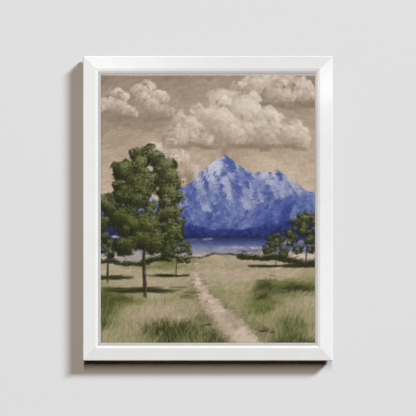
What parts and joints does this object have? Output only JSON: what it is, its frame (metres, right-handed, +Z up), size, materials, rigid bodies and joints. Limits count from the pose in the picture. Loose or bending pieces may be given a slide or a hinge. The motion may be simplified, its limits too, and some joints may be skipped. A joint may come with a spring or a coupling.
{
  "type": "framed canvas picture",
  "caption": "White mitred wooden picture frame holding a painted canvas stretched on wooden bars, with clips, sawtooth hanger and wall bumpers on the back.",
  "frame": {"origin": "the point of the wall plane straight behind the middle notch of the sawtooth hanger, where the picture hangs", "axes": "+X to the viewer's right, +Y back into the wall, +Z up; the painted front faces -Y and the wall is the plane y = 0"},
  "size_m": [0.4634, 0.033, 0.565],
  "materials": {
    "frame_paint": "white satin paint, bare wood on the back",
    "stretcher_pine": "planed bare pine",
    "canvas_cloth": "primed cotton canvas with matt paint",
    "wire_steel": "galvanised wire and strip",
    "clip_steel": "zinc plated",
    "hanger_brass": "brass plated, pressed",
    "bumper_rubber": "translucent pale, satin"
  },
  "bodies": {
    "root": {"bumper_left": "bumper_rubber", "bumper_right": "bumper_rubber", "canvas": "canvas_cloth", "clip_left_1": "clip_steel", "clip_left_2": "clip_steel", "clip_right_1": "clip_steel", "clip_right_2": "clip_steel", "clip_screw_left_1": "clip_steel", "clip_screw_left_2": "clip_steel", "clip_screw_right_1": "clip_steel", "clip_screw_right_2": "clip_steel", "corner_nail_bottom_1": "wire_steel", "corner_nail_bottom_2": "wire_steel", "corner_nail_left_1": "wire_steel", "corner_nail_left_2": "wire_steel", "corner_nail_right_1": "wire_steel", "corner_nail_right_2": "wire_steel", "corner_nail_top_1": "wire_steel", "corner_nail_top_2": "wire_steel", "hanger": "hanger_brass", "hanger_nail_1": "hanger_brass", "hanger_nail_2": "hanger_brass", "rail_bottom": "frame_paint", "rail_left": "frame_paint", "rail_right": "frame_paint", "rail_top": "frame_paint", "staple_bottom_1": "wire_steel", "staple_bottom_2": "wire_steel", "staple_bottom_3": "wire_steel", "staple_bottom_4": "wire_steel", "staple_bottom_5": "wire_steel", "staple_left_1": "wire_steel", "staple_left_2": "wire_steel", "staple_left_3": "wire_steel", "staple_left_4": "wire_steel", "staple_left_5": "wire_steel", "staple_left_6": "wire_steel", "staple_left_7": "wire_steel", "staple_right_1": "wire_steel", "staple_right_2": "wire_steel", "staple_right_3": "wire_steel", "staple_right_4": "wire_steel", "staple_right_5": "wire_steel", "staple_right_6": "wire_steel", "staple_right_7": "wire_steel", "staple_top_1": "wire_steel", "staple_top_2": "wire_steel", "staple_top_3": "wire_steel", "staple_top_4": "wire_steel", "staple_top_5": "wire_steel", "stretcher_bottom": "stretcher_pine", "stretcher_left": "stretcher_pine", "stretcher_right": "stretcher_pine", "stretcher_top": "stretcher_pine"}
  },
  "joints": []
}
